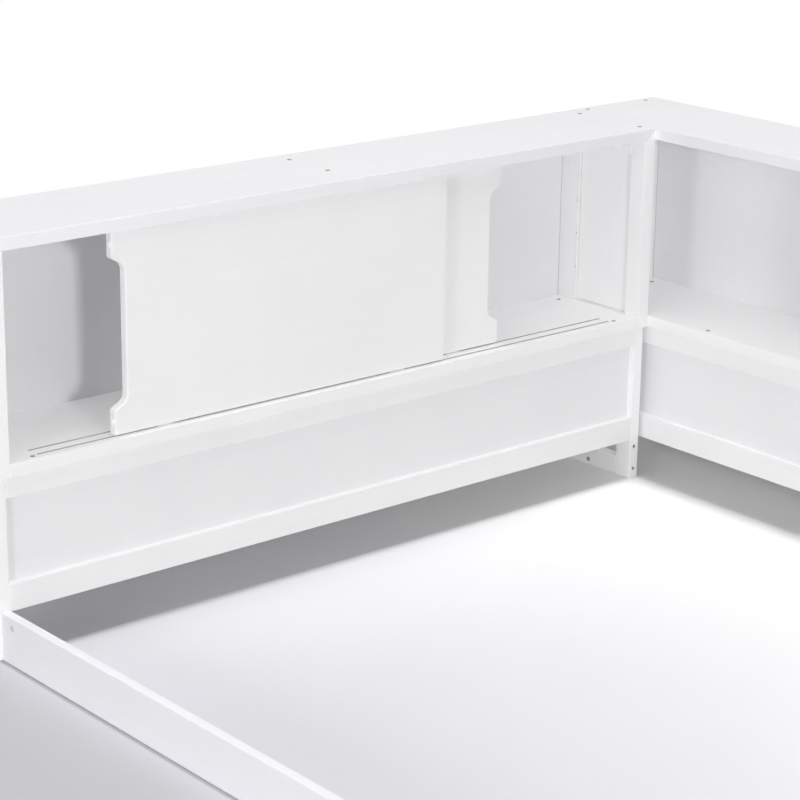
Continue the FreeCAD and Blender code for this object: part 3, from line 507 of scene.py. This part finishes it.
def shadow_under_upper_rail(end_rails):
    """A painted shadow along the top of an end's panel, under the rail above it."""
    underside = max(bounds_of(points)[0].z for points in solids_of(end_rails))

    def mask(graph):
        return graph.step(graph.off_plane(Z, underside), 0.0008, 0.0024, 0.40, 0.0)

    return mask


def back_corners(unit):
    """The dark joints between a case's back and its two ends."""

    def mask(graph):
        lines = []
        for first in (True, False):
            inner, _ = unit.end_places(first)
            away = graph.off_plane(unit.u_axis, inner)
            lines.append(graph.step(away, 0.0008, 0.0018, 0.55, 0.0))
        return graph.largest(*lines)

    return mask


def mitre_line(unit):
    """A hairline where the top board meets the two stiles at a slant."""
    rise = CASE_TOP - CASE_UNDERSIDE

    def mask(graph):
        lines = []
        for outer, way in ((unit.at(0, 0)[unit.u_axis], 1), (unit.at(unit.length, 0)[unit.u_axis], -1)):
            way = -way if unit.turned else way
            inwards = graph.math("SUBTRACT", graph.along[unit.u_axis], outer)
            run = graph.product(inwards, way * rise / END_THICK)
            drop = graph.math("SUBTRACT", CASE_TOP, graph.along[Z])
            off = graph.math("ABSOLUTE", graph.math("SUBTRACT", run, drop))
            near = graph.step(off, 0.0002, 0.0007, 0.9, 0.0)
            beside = graph.off_plane(unit.u_axis, outer)
            lines.append(graph.product(near, graph.step(beside, END_THICK, END_THICK + 0.001, 1.0, 0.0)))
        return graph.largest(*lines)

    return mask


# ---------------------------------------------------------------------------------------------------------
# Materials of the small parts
# ---------------------------------------------------------------------------------------------------------


def zinc():
    graph = Graph("zinc")
    clouds = graph.noise(240.0, 3.0)
    colour = graph.mix(clouds, rgba(0.56, 0.57, 0.60), rgba(0.74, 0.73, 0.70))
    tarnish = graph.step(graph.noise(900.0, 3.0), 0.62, 0.70)
    colour = graph.mix(graph.product(tarnish, 0.5), colour, rgba(0.36, 0.34, 0.32))
    roughness = graph.step(graph.noise(600.0, 2.0), 0.3, 0.7, 0.28, 0.46)
    relief = graph.bump(graph.noise(3000.0, 2.0), 0.15, 0.0001)
    return graph.finish(Base_Color=colour, Metallic=1.0, Roughness=roughness, Normal=relief)


def beech():
    graph = Graph("beech")
    grain = graph.noise(700.0, 4.0, 0.6, graph.stretched(X, 0.04))
    flecks = graph.step(graph.noise(1600.0, 2.0, 0.5, graph.stretched(X, 0.15)), 0.58, 0.66)
    colour = graph.mix(grain, rgba(0.70, 0.47, 0.27), rgba(0.82, 0.62, 0.40))
    colour = graph.mix(graph.product(flecks, 0.6), colour, rgba(0.45, 0.26, 0.13))
    return graph.finish(Base_Color=colour, Roughness=0.7, Normal=graph.bump(grain, 0.3, 0.0002))


def glide_nylon():
    graph = Graph("glide_nylon")
    clouds = graph.noise(120.0, 2.0)
    colour = graph.mix(clouds, rgba(0.78, 0.78, 0.76), rgba(0.86, 0.86, 0.84))
    rubbed = graph.step(graph.noise(500.0, 3.0, 0.7, graph.stretched(X, 0.1)), 0.5, 0.7)
    colour = graph.mix(graph.product(rubbed, 0.35), colour, rgba(0.52, 0.47, 0.44))
    roughness = graph.step(rubbed, 0.0, 1.0, 0.35, 0.6)
    relief = graph.bump(graph.noise(2400.0, 2.0), 0.15, 0.0001)
    return graph.finish(Base_Color=colour, Roughness=roughness, Normal=relief)


def white_cap():
    graph = Graph("white_cap")
    clouds = graph.noise(90.0, 2.0)
    colour = graph.mix(clouds, rgba(0.872, 0.858, 0.902), rgba(0.896, 0.884, 0.924))
    roughness = graph.step(graph.noise(300.0, 2.0), 0.3, 0.7, 0.42, 0.52)
    relief = graph.bump(graph.noise(1800.0, 2.0), 0.12, 0.0001)
    return graph.finish(Base_Color=colour, Roughness=roughness, Normal=relief)


def soft_bumper():
    graph = Graph("soft_bumper")
    clouds = graph.noise(200.0, 2.0)
    colour = graph.mix(clouds, rgba(0.82, 0.82, 0.82), rgba(0.89, 0.89, 0.89))
    dust = graph.step(graph.noise(900.0, 3.0), 0.6, 0.7)
    colour = graph.mix(graph.product(dust, 0.15), colour, rgba(0.60, 0.59, 0.58))
    relief = graph.bump(graph.noise(700.0, 3.0), 0.2, 0.0003)
    return graph.finish(Base_Color=colour, Roughness=0.36, Normal=relief)


# ---------------------------------------------------------------------------------------------------------
# Every CAD node gets its material
# ---------------------------------------------------------------------------------------------------------


def long_axis(node):
    low, high = span(node)
    return max((X, Y, Z), key=lambda a: high[a] - low[a])


def dress(node, material):
    materials = NODES[node].data.materials
    materials.clear()
    materials.append(material)


def paint_node(node, tone=CASE_TONE, **extras):
    dress(node, painted_board(node, tone, long_axis(node), **extras))


def paint_case(unit):
    mitre = mitre_line(unit)
    holes = around_holes(TOP_SCREWS, Z, TOP_HOLE_RADIUS)
    margins = HEAD_SHELF_HOLE_MARGINS if unit is HEADBOARD else SIDE_SHELF_HOLE_MARGINS
    blind = around_holes(shelf_holes(unit, margins), Z, SHELF_HOLE_RADIUS)
    if unit is HEADBOARD:
        holes = joined(holes, tracks(*[CASE_UNDERSIDE + depth for depth in UPPER_TRACK]))
        blind = joined(blind, tracks(*[SHELF_TOP - depth for depth in reversed(LOWER_TRACK)]))
    paint_node(f"{unit.name}_top", tone=TOP_TONE, bare=holes, thin=mitre, wear=0.5)
    # the shelves take a lighter tone as painted light
    paint_node(f"{unit.name}_shelf", tone=SHELF_TONE_WITH_PAINTED_LIGHT, bare=blind)
    paint_node(f"{unit.name}_back", tone=BACK_TONE, seam=back_corners(unit), wear=0.3)
    for divider in [n for n in NODES if n.startswith(f"{unit.name}_divider")]:
        paint_node(divider)
    for end in unit.ends:
        first = end == unit.ends[0]
        name = f"{unit.name}_{end}"
        rear_stile, end_rails = f"{name}_rear_stile", f"{name}_end_rails"
        paint_node(f"{name}_front_stile", tone=END_TONE, thin=mitre)
        paint_node(rear_stile, tone=END_TONE, thin=rear_stile_step(unit, first, rear_stile))
        paint_node(end_rails, tone=END_TONE, thin=end_rail_ledge)
        # the end panel gets a painted shadow under its upper rail
        paint_node(f"{name}_end_panel", tone=END_TONE, thin=panel_borders(rear_stile, unit.v_axis),
                   seam=shadow_under_upper_rail(end_rails), wear=0.3)


def paint_base(unit):
    base = f"{unit.name}_base"
    for part in ("apron", "bottom_rail", "back_rails", "cross_rails"):
        paint_node(f"{base}_{part}")
    # the recessed panel takes a darker tone as painted shade
    paint_node(f"{base}_panel", tone=BASE_PANEL_TONE_WITH_PAINTED_SHADE, wear=0.3)
    for end in unit.ends:
        for post in ("front_post", "rear_post"):
            node = f"{base}_{end}_{post}"
            low, high = span(node)
            middle = (low + high) / 2
            centres = [(middle.x, middle.y, height) for height in POST_HOLE_HEIGHTS]
            paint_node(node, tone=END_TONE, bare=around_holes(centres, unit.v_axis, POST_HOLE_RADIUS))
        stretchers = f"{base}_{end}_stretchers"
        hole = span(stretchers)[0]
        hole[unit.v_axis] = unit.at(0, STRETCHER_HOLE_INSET)[unit.v_axis]
        hole.z = STRETCHER_HOLE_HEIGHT
        paint_node(stretchers, bare=around_holes([hole], unit.u_axis, STRETCHER_HOLE_RADIUS))


def paint_bed_rails():
    boxes = [bounds_of(points) for points in solids_of("rail_cross_nuts")]
    centres = [(low + high) / 2 for low, high in boxes]
    for node, axis in (("side_rail", X), ("foot_rail", Y)):
        paint_node(node, tone=RAIL_TONE,
                   bare=around_holes(centres, axis, NUT_HOLE_RADIUS, bareness=0.3, chipped=0.0))


for bookcase in (HEADBOARD, SIDE):
    paint_case(bookcase)
    paint_base(bookcase)
paint_bed_rails()
# the rear door's tone is lighter as painted light
for door, tone in (("front_door", DOOR_TONE), ("rear_door", REAR_DOOR_TONE_WITH_PAINTED_LIGHT)):
    paint_node(door, tone=tone)
    dress(f"{door}_glides", glide_nylon())
    dress(f"{door}_bumpers", soft_bumper())
dress("dowels", beech())

# ---------------------------------------------------------------------------------------------------------
# Screws, bolts and cross nuts with their drives
# ---------------------------------------------------------------------------------------------------------

ROUND = 24                   # sides of a turned shape


def revolve(bm, profile):
    """Turns a profile of (radius, height) pairs round the z axis and returns its last ring."""
    rings = []
    for radius, height in profile:
        count = ROUND if radius > 0 else 1
        turns = [math.tau * i / ROUND for i in range(count)]
        rings.append([bm.verts.new((radius * math.cos(t), radius * math.sin(t), height)) for t in turns])
    for lower, upper in zip(rings, rings[1:]):
        for i in range(ROUND):
            j = (i + 1) % ROUND
            corners = [lower[i % len(lower)], lower[j % len(lower)]]
            corners += [upper[j % len(upper)], upper[i % len(upper)]]
            bm.faces.new(list(dict.fromkeys(corners)))
    return rings[-1]


def close_with_recess(bm, rim, outline, depth, taper):
    """Closes a ring with a flat face that has a recess of the given outline pressed into it."""
    height = rim[0].co.z
    mouth = [bm.verts.new((x, y, height)) for x, y in outline]
    bottom = [bm.verts.new((x * taper, y * taper, height - depth)) for x, y in outline]
    loops = []
    for ring in (rim, mouth):
        for i, vertex in enumerate(ring):
            pair = (vertex, ring[(i + 1) % len(ring)])
            loops.append(bm.edges.get(pair) or bm.edges.new(pair))
    bmesh.ops.triangle_fill(bm, use_beauty=True, edges=loops)
    for i in range(len(outline)):
        j = (i + 1) % len(outline)
        bm.faces.new([mouth[i], mouth[j], bottom[j], bottom[i]])
    bm.faces.new(bottom)


def cross_outline(reach, half):
    corner = [(reach, -half), (reach, half), (half, half)]
    points = []
    for quarter in range(4):
        turn = Matrix.Rotation(math.tau * quarter / 4, 2)
        points += [tuple(turn @ Vector(p)) for p in corner]
    return points


def hexagon(across_corners):
    radius = across_corners / 2
    return [(radius * math.cos(math.tau * i / 6), radius * math.sin(math.tau * i / 6)) for i in range(6)]


def slot_outline(length, width):
    x, y = length / 2, width / 2
    return [(-x, -y), (x, -y), (x, y), (-x, y)]


def pan_head_screw(bm, screw):
    r, h = screw.head_radius, screw.head_height
    shank, length = screw.shank_radius, screw.shank_length
    point = [(0, -length), (shank * 0.7, -length + shank * 2.2), (shank, -length * 0.75), (shank, 0)]
    head = [(r * 0.94, 0), (r, h * 0.10), (r, h * 0.45), (r * 0.92, h * 0.74), (r * 0.76, h * 0.92),
            (r * 0.56, h)]
    rim = revolve(bm, point + head)
    close_with_recess(bm, rim, cross_outline(r * 0.47, r * 0.11), h * 0.6, 0.62)


def socket_bolt(bm, bolt):
    r, h = bolt.head_radius, bolt.head_height
    shank, length = bolt.shank_radius, bolt.shank_length
    rod = [(0, -length), (shank * 0.82, -length), (shank, -length + shank * 0.25), (shank, 0)]
    head = [(r * 0.98, 0), (r, h * 0.12), (r * 0.95, h * 0.45), (r * 0.82, h * 0.78), (r * 0.66, h * 0.95),
            (r * 0.60, h)]
    rim = revolve(bm, rod + head)
    close_with_recess(bm, rim, hexagon(r * 0.95), h * 0.72, 1.0)


def barrel_nut(bm, radius, length):
    bevel = radius * 0.08
    profile = [(0, -length), (radius - bevel, -length), (radius, -length + bevel), (radius, -bevel),
               (radius - bevel, 0)]
    rim = revolve(bm, profile)
    close_with_recess(bm, rim, slot_outline(radius * 1.4, radius * 0.26), radius * 0.35, 1.0)


def gather(name, nodes, material, copies):
    """One object from several copies, each given as (the function that makes it, what this is given, the
    matrix of its place). It stands for the named CAD nodes, if there are any."""
    bm = bmesh.new()
    for make, given, matrix in copies:
        before = len(bm.verts)
        make(bm, *given)
        bm.verts.ensure_lookup_table()
        bmesh.ops.transform(bm, matrix=matrix, verts=bm.verts[before:])
    bmesh.ops.recalc_face_normals(bm, faces=bm.faces)
    mesh = bpy.data.meshes.new(name)
    bm.to_mesh(mesh)
    bm.free()
    mesh.shade_smooth()
    mesh.set_sharp_from_angle(angle=math.radians(32))
    mesh.materials.append(material)
    piece = bpy.data.objects.new(name, mesh)
    bpy.context.scene.collection.objects.link(piece)
    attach(piece, "bed")
    if nodes:
        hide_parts(*nodes)


def nut_places():
    """The cross nuts, each as its radius, its length, the room left in front of it in its hole, and the
    place of its open end."""
    found = []
    for points in solids_of("rail_cross_nuts"):
        low, high = bounds_of(points)
        size, middle = high - low, (low + high) / 2
        axis = max((X, Y), key=lambda a: size[a])
        rail_low, rail_high = span("side_rail" if axis == X else "foot_rail")
        opens_high = rail_high[axis] - high[axis] < low[axis] - rail_low[axis]
        way = Vector((0.0, 0.0, 0.0))
        way[axis] = 1.0 if opens_high else -1.0
        end = middle.copy()
        end[axis] = high[axis] if opens_high else low[axis]
        room = min(rail_high[axis] - high[axis], low[axis] - rail_low[axis])
        found.append((size.z / 2, size[axis], room, facing(end, way)))
    return found


CAP_SINK = 0.00005           # a cap's face behind the rail's face
CAP_GAP = 0.0001             # between a cap and its nut


def cover_cap(bm, radius, room):
    """A white cap that fills what room a cross nut leaves in its hole, level with the rail's face."""
    top, bevel = room - CAP_SINK, 0.0003
    profile = [(0, CAP_GAP), (radius * 0.9, CAP_GAP), (radius, bevel), (radius, top - bevel),
               (radius - 0.00025, top - 0.00005), (radius * 0.6, top), (0, top)]
    revolve(bm, profile)


metal = zinc()
nuts = nut_places()
gather("screws_with_cross_recess", ["case_screws"], metal,
       [(pan_head_screw, [screw], screw.matrix()) for screw in SCREWS])
gather("bolts_with_hexagon_socket", ["rail_bolts"], metal,
       [(socket_bolt, [bolt], bolt.matrix()) for bolt in BOLTS])
gather("slotted_cross_nuts", ["rail_cross_nuts"], metal,
       [(barrel_nut, [radius, length], place) for radius, length, _, place in nuts])
gather("cross_nut_cover_caps", [], white_cap(),
       [(cover_cap, [radius, room], place) for radius, _, room, place in nuts])

# ---------------------------------------------------------------------------------------------------------
# Floor, camera and lights
# ---------------------------------------------------------------------------------------------------------

FLOOR_HALF = 14.0            # half of the floor's side
FLOOR_BOUNCE = 0.72          # how pale the floor is for everything but the camera
SHADOW_STRIP_WIDTH = 0.75           # a greyer strip outside the side rail, painted as the rail's shadow
SHADOW_STRIP_FADE = 0.30            # over which the painted shadow strip's outer border is soft
SHADOW_STRIP_TONE = 0.765
CONTACT_SHADOW_WIDTH = 0.012        # the dark line under that rail, a painted contact shadow
CONTACT_SHADOW_TONE = 0.66
WHITE_FROM = 2.0             # from this far from the bed's middle the camera sees the floor turn white,
WHITE_BEYOND = 3.6           # and beyond this it is all white


def make_floor():
    """A pale studio floor, seen a little greyer towards the left and the head end as painted shade, greyer
    still outside the side rail as a painted shadow of the rail, with a painted dark contact shadow under
    that rail, and white far away."""
    mesh = bpy.data.meshes.new("floor")
    corners = [(x * FLOOR_HALF, y * FLOOR_HALF, 0) for x, y in ((-1, -1), (1, -1), (1, 1), (-1, 1))]
    mesh.from_pydata(corners, [], [(0, 1, 2, 3)])
    plane = bpy.data.objects.new("floor", mesh)
    bpy.context.scene.collection.objects.link(plane)

    graph = Graph("floor")
    across = graph.along[X]
    # painted shade: the floor is seen greyer towards the left
    inputs = {"Value": across, "From Min": -0.61, "From Max": 0.45, "To Min": 0.778, "To Max": 1.0}
    tone = graph.add("ShaderNodeMapRange", inputs).outputs["Result"]
    # painted shadow of the side rail: a greyer strip beside it that fades outwards, and a dark contact line
    # along its foot
    beside_rail = graph.within(graph.along[Y], side_rail_low.y, side_rail_high.y, 0.15)
    strip = RAIL_OUTER_X - SHADOW_STRIP_WIDTH
    near_rail = graph.product(beside_rail, graph.within(across, strip, RAIL_OUTER_X, 0.001))
    faded = graph.product(near_rail, graph.step(across, strip, strip + SHADOW_STRIP_FADE))
    outside = graph.step(faded, 0.0, 1.0, 1.0, SHADOW_STRIP_TONE)
    line = graph.product(beside_rail,
                         graph.step(across, RAIL_OUTER_X - CONTACT_SHADOW_WIDTH, RAIL_OUTER_X - 0.002),
                         graph.step(across, RAIL_OUTER_X, RAIL_OUTER_X + 0.001, 1.0, 0.0))
    contact_shadow = graph.step(line, 0.0, 1.0, 1.0, CONTACT_SHADOW_TONE)
    dust = graph.step(graph.noise(3.0, 3.0), 0.3, 0.7, 0.992, 1.006)
    # painted light: the floor is seen a little lighter towards the foot
    painted_light_towards_foot = graph.step(graph.along[Y], -0.40, 0.50, 1.05, 1.0)
    grey = graph.product(tone, painted_light_towards_foot, outside, contact_shadow, dust)
    blue = graph.product(grey, graph.step(across, -0.8, 0.5, 1.05, 1.005))
    seen_colour = graph.add("ShaderNodeCombineColor", {0: grey, 1: grey, 2: blue}).outputs[0]
    is_seen = background_rays(graph.tree)
    colour = graph.mix(is_seen, rgba(FLOOR_BOUNCE, FLOOR_BOUNCE, FLOOR_BOUNCE), seen_colour)
    matt = graph.add("ShaderNodeBsdfDiffuse", {"Color": colour}).outputs[0]

    away = graph.add("ShaderNodeVectorMath", {0: graph.place}, operation="LENGTH").outputs["Value"]
    far = graph.product(graph.step(away, WHITE_FROM, WHITE_BEYOND), is_seen)
    white = graph.add("ShaderNodeEmission", {"Color": rgba(1, 1, 1), "Strength": 1.0}).outputs[0]
    surface = graph.add("ShaderNodeMixShader", {0: far, 1: matt, 2: white}).outputs[0]
    graph.add("ShaderNodeOutputMaterial", {"Surface": surface})
    mesh.materials.append(graph.material)
    return plane


the_floor = make_floor()

PICTURE_SIDE = 800
FOCAL_PX = 2458.1
CAMERA_PLACE = Vector((-2.6126, -2.1868, 1.5370))
CAMERA_YAW = math.radians(49.46)
CAMERA_PITCH = math.radians(-17.53)
CAMERA_ROLL = math.radians(-0.81)


def make_camera():
    data = bpy.data.cameras.new("camera")
    data.sensor_width = 36.0
    data.lens = FOCAL_PX / PICTURE_SIDE * data.sensor_width
    camera = bpy.data.objects.new("camera", data)
    bpy.context.scene.collection.objects.link(camera)
    level = math.radians(90)
    aim = Matrix.Rotation(CAMERA_YAW - level, 4, "Z") @ Matrix.Rotation(level + CAMERA_PITCH, 4, "X")
    camera.matrix_world = Matrix.Translation(CAMERA_PLACE) @ aim @ Matrix.Rotation(-CAMERA_ROLL, 4, "Z")
    bpy.context.scene.camera = camera


make_camera()


def add_lamp(name, data, direction, place=(0, 0, 3)):
    lamp = bpy.data.objects.new(name, data)
    bpy.context.scene.collection.objects.link(lamp)
    lamp.location = place
    lamp.rotation_euler = Vector(direction).to_track_quat("-Z", "Y").to_euler()
    return lamp


def soft_box(name, place, target, size, power):
    data = bpy.data.lights.new(name, "AREA")
    data.shape = "SQUARE"
    data.size = size
    data.energy = power
    return add_lamp(name, data, Vector(target) - Vector(place), place)


def sun(name, direction, angle, strength, casts_shadow=True):
    data = bpy.data.lights.new(name, "SUN")
    data.angle = math.radians(angle)
    data.energy = strength
    data.use_shadow = casts_shadow
    return add_lamp(name, data, direction)


def receivers(name, state):
    """What a lamp lights: INCLUDE for the floor alone, EXCLUDE for all but the floor."""
    group = bpy.data.collections.new(name)
    group.objects.link(the_floor)
    group.collection_objects[0].light_linking.link_state = state
    return group


floor_only = receivers("floor_only", "INCLUDE")
not_the_floor = receivers("not_the_floor", "EXCLUDE")

# The floor gets a small hard sun for its sharp shadow, and the bed a broad soft light from overhead.
overhead_sun = sun("overhead_sun", (-0.013, 0.043, -1), angle=5.5, strength=1.67)
overhead_sun.light_linking.receiver_collection = floor_only
overhead_box = soft_box("overhead_box", (0.0, 0.0, 4.5), target=(0.0, 0.0, 0.0), size=5.0, power=121)
overhead_box.light_linking.receiver_collection = not_the_floor
for name, way, strength in (("fill_down", (0, 0, -1), 0.60), ("fill_back", (0, 1, 0), 0.07)):
    sun(name, way, 30, strength, casts_shadow=False).light_linking.receiver_collection = not_the_floor
sun("fill_right", (1, 0, 0), angle=30, strength=0.286, casts_shadow=False)
soft_box("front_lamp", (-1.63, -3.745, 1.22), target=(-0.5, 1.07, 0.48), size=0.55, power=62)
soft_box("left_lamp", (-3.80, -1.0, 0.95), target=(0.8, 0.95, 0.48), size=0.55, power=25)
soft_box("left_box", (-4.4, -0.6, 2.6), target=(0.3, 0.2, 0.3), size=2.6, power=22.5)

AMBIENT = 0.160              # the even light that comes from all round


def white_surroundings():
    """Past the floor the camera and reflections see plain white, and a little even light comes in."""
    world = bpy.data.worlds.new("studio")
    world.use_nodes = True
    tree = world.node_tree
    tree.nodes.clear()
    strength = tree.nodes.new("ShaderNodeMath")
    strength.operation = "MAXIMUM"
    tree.links.new(background_rays(tree), strength.inputs[0])
    strength.inputs[1].default_value = AMBIENT
    white = tree.nodes.new("ShaderNodeBackground")
    white.inputs["Color"].default_value = rgba(1, 1, 1)
    tree.links.new(strength.outputs[0], white.inputs["Strength"])
    out = tree.nodes.new("ShaderNodeOutputWorld")
    tree.links.new(white.outputs[0], out.inputs["Surface"])
    bpy.context.scene.world = world


white_surroundings()
bpy.context.scene.view_settings.view_transform = "Standard"
